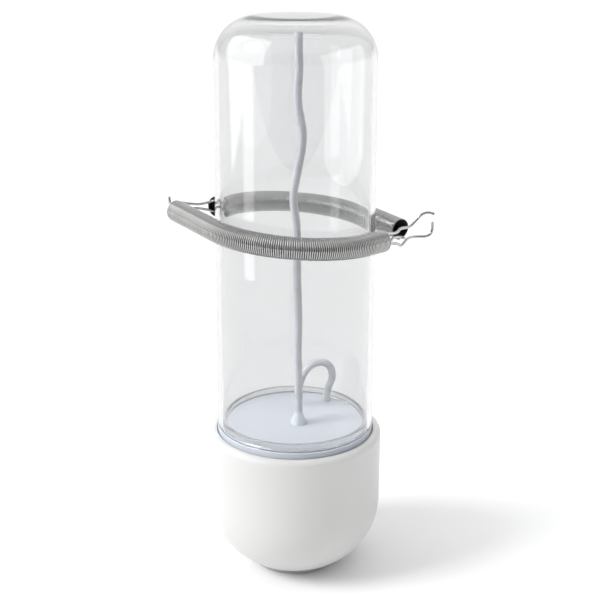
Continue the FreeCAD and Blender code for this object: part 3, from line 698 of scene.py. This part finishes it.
def make_tube(name, start, route, stands_for):
    """White tubing along a route that is given in millimetres from its start."""
    chain = smooth_line([start + Vector(step) * MM for step in route], 12)
    build = bmesh.new()
    tube(build, chain, TUBING, TUBING_BORE, 24)
    print(name, "length", round(1000 * sum((b - a).length for a, b in zip(chain, chain[1:])), 1), "mm")
    return finish_piece(name, mesh_of(build, name), VINYL, "base", [stands_for])


def make_spigot():
    bottom = UNDERSIDE - SHANK_DEPTH
    flare = [Vector((FLARE_RADIUS, FLOOR + FLARE_EDGE))]
    for step in range(1, FLARE_STEPS + 1):
        share = step / FLARE_STEPS
        across = TUBING + TUBING_FIT + (FLARE_RADIUS - TUBING) * (1 - share) ** FLARE_CURVE
        flare.append(Vector((across, FLOOR + FLARE_EDGE + (FLARE_HEIGHT - FLARE_EDGE) * share)))
    stem, stem_end = TUBING_BORE - TUBING_FIT, FLARE_TOP.z + STEM_LENGTH
    outline = [(VENT_BORE, bottom, 0.0), (SHANK_RADIUS, bottom, 0.4 * MM), (SHANK_RADIUS, FLOOR, 0.0),
               (FLARE_RADIUS, FLOOR, 0.0)]
    outline += as_corners(flare)
    outline += [(stem, FLARE_TOP.z, 0.0), (stem, stem_end, 0.2 * MM), (VENT_BORE, stem_end, 0.0)]
    build = bmesh.new()
    lathe(build, rounded(outline), SPIGOT_SPOT, segments=48)
    return finish_piece("spigot", mesh_of(build, "spigot"), PLATE, "base", ["air_spigot"])


make_tube("breather", FLARE_TOP, AIR_ROUTE, "air_tube")
make_spigot()
make_tube("swan_neck", INTAKE, INTAKE_ROUTE, "intake_tube")

# %% [markdown]
# ## The spring band
# Two close-wound springs go round the tank in one tilted plane. Each turn is the same small loop of wire
# carried along a line, so this is work for Geometry Nodes: the tree takes the spring's centre line, winds a
# helix about it and gives the helix a round section. On the bend the turns fan out on the outside. The turns
# almost touch, so an attribute marks their crests, and the finish paints near-black shade into the grooves
# between them.

# %% The band's plane and centre lines
BAND_HEIGHT = 183.2 * MM
BAND_TILT = math.radians(4.15)
COIL_RADIUS = 5.4 * MM
TURN_WIRE = 0.42 * MM
TURN_PITCH = 0.94 * MM
TURN_SPARE = 0.02 * MM
WIRE_SIDES = 8
HUG = 45.22 * MM
BAND_LEVEL = Matrix.Translation((0.0, 0.0, BAND_HEIGHT)) @ Matrix.Rotation(BAND_TILT, 4, "Y")
UP = Vector((0.0, 0.0, 1.0))


def on_circle(degrees):
    """A point of the springs' circle round the tank, in the band's own plane."""
    angle = math.radians(degrees)
    return Vector((math.cos(angle), math.sin(angle), 0.0)) * HUG


def spring_line(left, right, left_run, right_run):
    """A straight run, the arc round the tank and a straight run, in steps of about a turn."""
    sense = math.copysign(1.0, (right - left))
    first, last = on_circle(left), on_circle(right)
    leave_left = Vector((first.y, -first.x, 0.0)).normalized() * sense
    leave_right = Vector((-last.y, last.x, 0.0)).normalized() * sense
    steps = round(abs(math.radians(right - left)) * HUG / TURN_PITCH)
    arc = [on_circle(left + (right - left) * step / steps) for step in range(steps + 1)]
    ends = (first + leave_left * left_run, leave_left), (last + leave_right * right_run, leave_right)
    return [ends[0][0]] + arc + [ends[1][0]], ends


FRONT_LINE, (FRONT_TAIL, FRONT_END) = spring_line(214.0, 318.0, 39.0 * MM, 12.3 * MM)
BACK_LINE, (BACK_TAIL, BACK_END) = spring_line(148.0, 33.0, 4.0 * MM, 26.0 * MM)

# %% [markdown]
# The node tree resamples the line into many short steps. At each step the phase angle grows, the point moves
# out to the coil's radius by that angle, and Curve to Mesh sweeps the wire's round section along the result.

# %% The coil's node tree
def make_coil_tree():
    tree = bpy.data.node_groups.new("wound_coil", "GeometryNodeTree")
    face = tree.interface
    face.new_socket("Geometry", in_out="INPUT", socket_type="NodeSocketGeometry")
    for name in ("Coil Radius", "Wire Radius", "Turns", "First Angle"):
        face.new_socket(name, in_out="INPUT", socket_type="NodeSocketFloat")
    face.new_socket("Steps", in_out="INPUT", socket_type="NodeSocketInt")
    face.new_socket("Finish", in_out="INPUT", socket_type="NodeSocketMaterial")
    face.new_socket("Geometry", in_out="OUTPUT", socket_type="NodeSocketGeometry")
    nodes, links = tree.nodes, tree.links

    def add(kind, settings=None, **values):
        made = nodes.new(kind)
        for name, setting in (settings or {}).items():
            setattr(made, name, setting)
        for name, given in values.items():
            key = int(name[1:]) if name[1:].isdigit() else name.replace("_", " ")
            place = made.inputs[key]
            if isinstance(given, bpy.types.NodeSocket):
                links.new(given, place)
            else:
                place.default_value = given
        return made

    given = nodes.new("NodeGroupInput").outputs
    line = add("GeometryNodeMeshToCurve", Mesh=given["Geometry"])
    wound = add("GeometryNodeResampleCurve", {"mode": "COUNT"}, Curve=line.outputs[0], Count=given["Steps"])
    along = add("GeometryNodeSplineParameter")
    heading = add("GeometryNodeInputTangent")
    side = add("ShaderNodeVectorMath", {"operation": "CROSS_PRODUCT"},
               i0=(0.0, 0.0, 1.0), i1=heading.outputs[0])
    side = add("ShaderNodeVectorMath", {"operation": "NORMALIZE"}, i0=side.outputs[0])
    sweep = add("ShaderNodeMath", {"operation": "MULTIPLY"},
                i0=along.outputs["Factor"], i1=given["Turns"])
    full = add("ShaderNodeMath", {"operation": "MULTIPLY"}, i0=sweep.outputs[0], i1=2 * math.pi)
    angle = add("ShaderNodeMath", {"operation": "ADD"}, i0=full.outputs[0], i1=given["First Angle"])
    parts = []
    for operation, direction in (("COSINE", side.outputs[0]), ("SINE", (0.0, 0.0, 1.0))):
        wave = add("ShaderNodeMath", {"operation": operation}, i0=angle.outputs[0])
        size = add("ShaderNodeMath", {"operation": "MULTIPLY"}, i0=wave.outputs[0], i1=given["Coil Radius"])
        arm = add("ShaderNodeVectorMath", {"operation": "SCALE"}, i0=direction, Scale=size.outputs[0])
        parts.append(arm.outputs[0])
    offset = add("ShaderNodeVectorMath", {"operation": "ADD"}, i0=parts[0], i1=parts[1])
    helix = add("GeometryNodeSetPosition", Geometry=wound.outputs[0], Offset=offset.outputs[0])
    section = add("GeometryNodeCurvePrimitiveCircle", Resolution=WIRE_SIDES, Radius=given["Wire Radius"])
    wire = add("GeometryNodeCurveToMesh", Curve=helix.outputs[0], Profile_Curve=section.outputs[0],
               Fill_Caps=True)
    real = add("GeometryNodeRealizeInstances", Geometry=wire.outputs[0])
    painted = add("GeometryNodeSetMaterial", Geometry=real.outputs[0], Material=given["Finish"])
    links.new(painted.outputs[0], nodes.new("NodeGroupOutput").inputs[0])
    return tree


COIL_TREE = make_coil_tree()
STEPS_IN_A_TURN = 18


def mark_crests(wound, line):
    """Store how far out of the coil each vertex lies: 1 on a turn's crest, 0 where it meets the next."""
    reach = [0.0]
    for before, after in zip(line, line[1:]):
        reach.append(reach[-1] + (after - before).length)
    rings = len(wound.vertices) // WIRE_SIDES
    crest, piece = [], 0
    for ring in range(rings):
        along = reach[-1] * ring / (rings - 1)
        while piece < len(line) - 2 and reach[piece + 1] < along:
            piece += 1
        share = (along - reach[piece]) / (reach[piece + 1] - reach[piece])
        centre = line[piece].lerp(line[piece + 1], share)
        for vertex in wound.vertices[ring * WIRE_SIDES:(ring + 1) * WIRE_SIDES]:
            crest.append(((vertex.co - centre).length - COIL_RADIUS + TURN_WIRE) / TURN_WIRE)
    wound.attributes.new("crest", "FLOAT", "POINT").data.foreach_set("value", crest)
    print("crests", round(min(crest), 2), "to", round(max(crest), 2))


def wind_coil(name, line, last_angle, body, stands_for):
    """Wind a spring along a line so that its last turn ends at a given angle, and hang it on its body."""
    mesh = bpy.data.meshes.new(name + "_line")
    mesh.from_pydata(line, [(index, index + 1) for index in range(len(line) - 1)], [])
    holder = bpy.data.objects.new(name + "_line", mesh)
    bpy.context.scene.collection.objects.link(holder)
    length = sum((after - before).length for before, after in zip(line, line[1:]))
    turns = length / TURN_PITCH
    given = {
        "Coil Radius": COIL_RADIUS - TURN_WIRE - TURN_SPARE, "Wire Radius": TURN_WIRE, "Turns": turns,
        "First Angle": last_angle - 2 * math.pi * turns, "Steps": round(turns * STEPS_IN_A_TURN),
        "Finish": SPRING,
    }
    winding = holder.modifiers.new("winding", "NODES")
    winding.node_group = COIL_TREE
    for item in COIL_TREE.interface.items_tree:
        if item.in_out == "INPUT" and item.name in given:
            winding[item.identifier] = given[item.name]
    wound = evaluated_mesh(holder)
    bpy.data.objects.remove(holder)
    mark_crests(wound, line)
    wound.transform(BAND_LEVEL)
    print(name, round(turns, 1), "turns,", round(length * 1000, 1), "mm long")
    return finish_piece(name, wound, SPRING, body, stands_for, 60.0)


wind_coil("front_coil", FRONT_LINE, math.radians(45.0), "front_band", ["front_spring"])
wind_coil("back_coil", BACK_LINE, math.radians(270.0), "back_band", ["back_spring"])

# %% [markdown]
# Heavier wires are held in the ends of the coils. On the right each forms a prong of the hook that grips a
# cage wire. On the left a link on the front spring goes through the eye on the back spring, and that is
# where the band opens. They are bent from bar, so their centre lines are NURBS curves again.

# %% Hooks, link and eye
HOOK_WIRE = 0.7 * MM
COIL_WALL, WIRE_GAP = 0.65 * MM, 0.1 * MM
WIRE_REACH = COIL_RADIUS - COIL_WALL - WIRE_GAP - HOOK_WIRE
WIRE_HOLD, WIRE_LEAD = 4.0 * MM, 1.5 * MM
FRONT_HOOK = [
    (46.0, -13.6, 1.8), (49.3, -10.2, 1.5), (50.6, -8.6, 3.6), (55.4, -5.5, 3.4), (58.3, -4.5, 6.8),
    (60.8, -4.0, 10.2), (64.2, -4.0, 11.6), (66.8, -4.0, 10.7),
]
BACK_HOOK = [
    (54.6, -4.2, -2.6), (50.4, -9.4, -0.5), (46.4, -13.4, -0.5), (46.4, -13.4, -3.4), (50.0, -11.8, -3.2),
    (52.0, -9.8, -5.4), (54.9, -6.9, -1.6), (58.3, -5.0, -1.0), (65.2, -4.5, -0.7), (67.3, -4.0, 2.4),
    (66.6, -4.0, 6.6),
]
LINK_EYE = [
    (-46.5, 19.9, 1.0), (-53.0, 19.4, 0.8), (-57.2, 18.0, 1.6), (-61.0, 15.9, 1.6), (-61.0, 15.9, -2.2),
    (-57.2, 18.0, -2.2), (-53.0, 19.4, -1.3), (-46.5, 19.9, -1.2),
]
FRONT_LINK = [
    (-60.4, 19.6, -0.3), (-63.4, 18.6, -0.3), (-62.9, 12.6, 1.0), (-63.5, 11.8, 5.4),
]


def wire_start(end, degrees):
    """Two points that lead a wire out of a coil's end, against the coil's inside."""
    place, heading = end
    angle = math.radians(degrees)
    offset = (Vector((-heading.y, heading.x, 0.0)) * math.cos(angle) + UP * math.sin(angle)) * WIRE_REACH
    return [place - heading * WIRE_HOLD + offset, place + heading * WIRE_LEAD + offset]


def in_metres(points):
    """Given points of the band's plane, in metres."""
    return [Vector(point) * MM for point in points]


def bend_wire(name, points, body, stands_for):
    """A wire of the band along its points."""
    build = bmesh.new()
    tube(build, smooth_line(points, 10), HOOK_WIRE, sides=20)
    mesh = mesh_of(build, name)
    mesh.transform(BAND_LEVEL)
    return finish_piece(name, mesh, STEEL_WIRE, body, [stands_for])


STEEL_WIRE = make_metal("bright_hook_wire", (0.52, 0.52, 0.515, 1), (0.36, 0.36, 0.36, 1), 0.12, 0.08)
WIRES = [
    ("upper_prong", wire_start(FRONT_END, 45) + in_metres(FRONT_HOOK), "front_band", "front_hook"),
    ("lower_prong", wire_start(BACK_END, 270) + in_metres(BACK_HOOK), "back_band", "back_hook"),
    ("link_wire", wire_start(FRONT_TAIL, 180) + in_metres(FRONT_LINK), "front_band", "front_link"),
    ("eye_wire", wire_start(BACK_TAIL, 90)[:1] + in_metres(LINK_EYE) + wire_start(BACK_TAIL, 270)[:1],
     "back_band", "link_eye"),
]
for wire in WIRES:
    bend_wire(*wire)

# %% [markdown]
# ## The small fittings
# Under the plate and in the foot sit screws, nuts, washers, the inner hose and the drinker nipple. The CAD
# shapes of these are right as they are, so they stay, and only get their finish.

# %% Finishes of the fittings
FITTINGS = {
    STEEL: ["plate_screws", "hose_clips", "nipple_pin", "nipple_poppet"],
    BRASS: ["nipple_body", "nipple_nut"],
    RUBBER: ["spigot_washer", "intake_seal", "nipple_washer", "nipple_seat"],
    PLATE: ["spigot_nut", "intake_socket"],
    VINYL: ["inner_hose"],
}
for finish, names in FITTINGS.items():
    for name in names:
        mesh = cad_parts[name].data
        mesh.materials.clear()
        mesh.materials.append(finish)
print("fittings finished:", sum(len(names) for names in FITTINGS.values()))

# %% [markdown]
# ## Floor and light
# The floor is one very large pale plane, lit so that it runs off to white. A soft sun from the left throws
# the long shadow, and a pale sky, brightest overhead and behind, fills it. Clear plastic and bright wire are
# drawn by what they mirror, so three panels give them their streaks without lighting matt faces, and a dark
# card in front, seen only in reflections, gives them a dark line.

# %% Floor
FLOOR_REACH = 60.0


def make_floor():
    mesh = bpy.data.meshes.new("floor")
    reach = FLOOR_REACH
    corners = [(-reach, -reach, 0), (reach, -reach, 0), (reach, reach, 0), (-reach, reach, 0)]
    mesh.from_pydata(corners, [], [(0, 1, 2, 3)])
    material, shader, place = new_finish("paper_floor", Specular_IOR_Level=0.0)
    shader.inputs["Roughness"].default_value = 1.0
    feed(shader, "Base Color", grain(place, 6.0, 3.0).mix((0.94, 0.94, 0.94, 1), (0.955, 0.955, 0.955, 1)))
    mesh.materials.append(material)
    floor = bpy.data.objects.new("floor", mesh)
    bpy.context.scene.collection.objects.link(floor)


make_floor()

# %% Lights
HORIZON, OVERHEAD, BEHIND = 0.06, 0.86, 0.8
CARD_REACH, CARD_HEIGHT, CARD_PLACE = 2.4, 0.95, -1.1


def add_panel(name, place, aim, size, power, roll=0.0):
    """A rectangular panel light that faces a point. It doesn't light matt faces or flatten the shadows."""
    light = bpy.data.lights.new(name, "AREA")
    light.shape = "RECTANGLE"
    light.size, light.size_y = size
    light.energy = power
    panel = bpy.data.objects.new(name, light)
    bpy.context.scene.collection.objects.link(panel)
    heading = Vector(aim) - Vector(place)
    facing = heading.to_track_quat("-Z", "Y").to_matrix().to_4x4()
    facing = facing @ Matrix.Rotation(math.radians(roll), 4, "Z")
    panel.matrix_world = Matrix.Translation(place) @ facing
    panel.visible_diffuse = False


def add_sun(azimuth, elevation, strength, spread):
    """A soft sun that comes from an azimuth, counted from the front towards the right."""
    light = bpy.data.lights.new("sun", "SUN")
    light.energy = strength
    light.angle = math.radians(spread)
    sun = bpy.data.objects.new("sun", light)
    bpy.context.scene.collection.objects.link(sun)
    turn, rise = math.radians(azimuth), math.radians(elevation)
    source = Vector((math.sin(turn) * math.cos(rise), -math.cos(turn) * math.cos(rise), math.sin(rise)))
    sun.matrix_world = (-source).to_track_quat("-Z", "Y").to_matrix().to_4x4()
    sun.visible_glossy = False


def make_world():
    """A studio sky: bright overhead and behind, dark at the other horizons, and white to the camera."""
    world = bpy.data.worlds.new("studio")
    bpy.context.scene.world = world
    world.use_nodes = True
    tree = world.node_tree
    direction = Socket(tree, tree.nodes.new("ShaderNodeTexCoord").outputs["Generated"])
    tree.nodes["Background"].inputs["Color"].default_value = (1.0, 1.0, 1.0, 1.0)
    sky = HORIZON
    for axis, strength in ((2, OVERHEAD), (1, BEHIND)):
        part = direction.node("ShaderNodeSeparateXYZ", out=axis, Vector=direction)
        sky = sky + strength * part.node("ShaderNodeClamp", i0=part)
    seen = direction.node("ShaderNodeLightPath", out=0)
    feed(tree.nodes["Background"], "Strength", seen + (1.0 - seen) * sky)


def add_card():
    """A dark card in front, seen only in reflections: it draws the dark line along wires and rims."""
    mesh = bpy.data.meshes.new("card")
    across = (-CARD_REACH, CARD_REACH, CARD_REACH, -CARD_REACH)
    up = (0.0, 0.0, CARD_HEIGHT, CARD_HEIGHT)
    mesh.from_pydata([(x, CARD_PLACE, z) for x, z in zip(across, up)], [], [(0, 1, 2, 3)])
    material, shader, place = new_finish("card_black", Specular_IOR_Level=0.0)
    feed(shader, "Base Color", grain(place, 20.0).mix((0.02, 0.02, 0.02, 1), (0.03, 0.03, 0.03, 1)))
    mesh.materials.append(material)
    card = bpy.data.objects.new("card", mesh)
    bpy.context.scene.collection.objects.link(card)
    for kind in ("camera", "diffuse", "transmission", "shadow", "volume_scatter"):
        setattr(card, "visible_" + kind, False)


make_world()
add_card()
add_sun(azimuth=-75.0, elevation=36.0, strength=2.4, spread=26.0)
add_panel("softbox", place=(-0.426, -0.077, 0.436), aim=(0.0, 0.0, 0.268), size=(0.59, 0.57), power=2.3,
          roll=20.0)
add_panel("left_strip", place=(-0.52, -0.22, 0.09), aim=(0.0, 0.0, 0.09), size=(0.17, 0.24), power=0.25)
add_panel("right_panel", place=(0.52, -0.15, 0.30), aim=(0.0, 0.0, 0.15), size=(0.80, 0.45), power=1.3)
bpy.context.scene.view_settings.view_transform = "Standard"
print("lights set")
